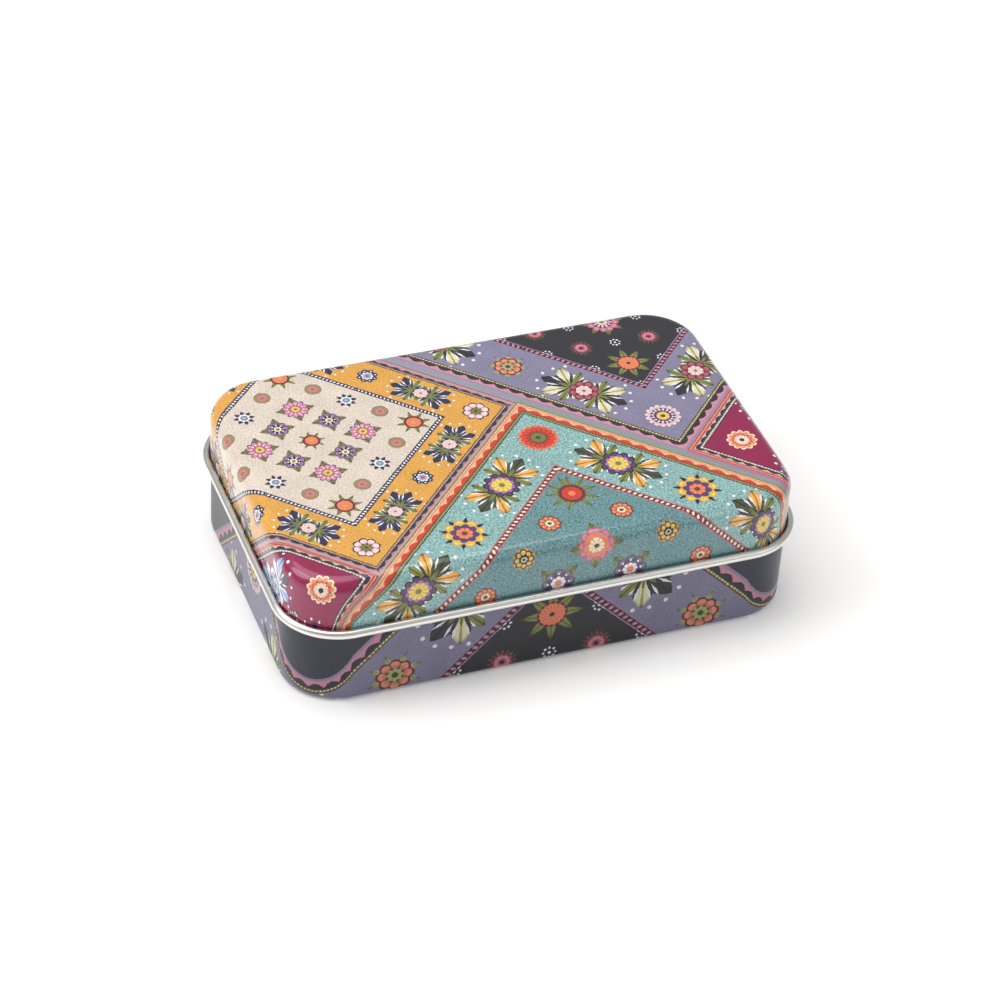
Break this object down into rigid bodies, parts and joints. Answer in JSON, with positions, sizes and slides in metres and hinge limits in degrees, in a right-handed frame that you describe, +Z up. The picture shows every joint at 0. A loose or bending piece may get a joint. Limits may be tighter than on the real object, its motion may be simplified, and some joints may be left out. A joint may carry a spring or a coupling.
{
  "type": "metal lunch box",
  "caption": "Rounded rectangular tinplate lunch tin with a hinged lid, a rolled wired rim and a necked tray, for carrying food.",
  "frame": {"origin": "centre of the footprint, on the surface that the closed tin stands on", "axes": "+X along the long side, +Y towards the hinged back, +Z up"},
  "size_m": [0.19, 0.125, 0.0515],
  "materials": {
    "printed_tray": "varnished print",
    "printed_lid": "varnished print",
    "bare_tinplate": "satin tinplate"
  },
  "bodies": {
    "tray": {"base_tray": "printed_tray", "hinge_strap_left": "bare_tinplate", "hinge_strap_right": "bare_tinplate"},
    "lid": {"lid_shell": "printed_lid", "lid_rim_wire": "bare_tinplate"}
  },
  "joints": [
    {"name": "lid_hinge", "type": "hinge", "parent": "tray", "child": "lid", "pos_m": [0, 0.0609, 0.031], "axis": [-1, 0, 0], "range_deg": [0, 180]}
  ]
}
